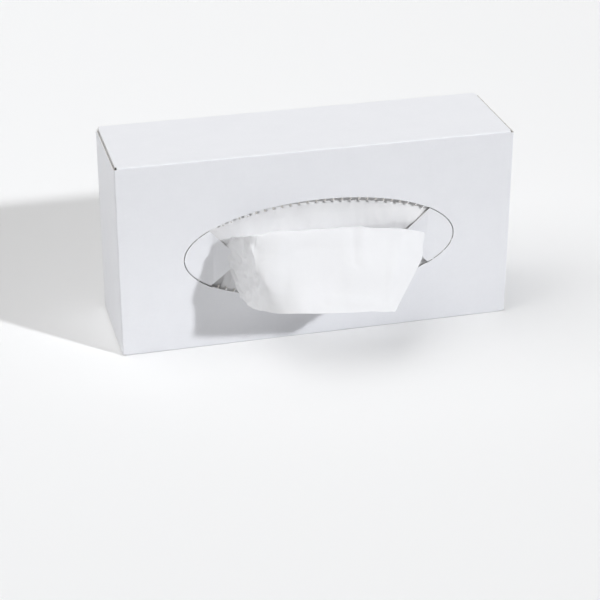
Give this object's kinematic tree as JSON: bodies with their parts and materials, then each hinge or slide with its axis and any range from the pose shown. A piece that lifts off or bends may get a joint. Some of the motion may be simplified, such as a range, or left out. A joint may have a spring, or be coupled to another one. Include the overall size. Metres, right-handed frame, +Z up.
{
  "type": "tissue box",
  "caption": "Flat white carton of facial tissues, standing on its long narrow side with its perforated oval torn open and a tissue pulled out.",
  "frame": {"origin": "centre of the long narrow side of the carton that it stands on", "axes": "+X along the carton's length, +Y from the opening panel to the back panel, +Z up"},
  "size_m": [0.23, 0.1168, 0.115],
  "materials": {
    "board": "smooth matt white board",
    "tissue": "soft matt tissue paper"
  },
  "bodies": {
    "root": {"carton": "board", "tissue_stack": "tissue", "next_tissue": "tissue", "popped_tissue": "tissue"}
  },
  "joints": []
}
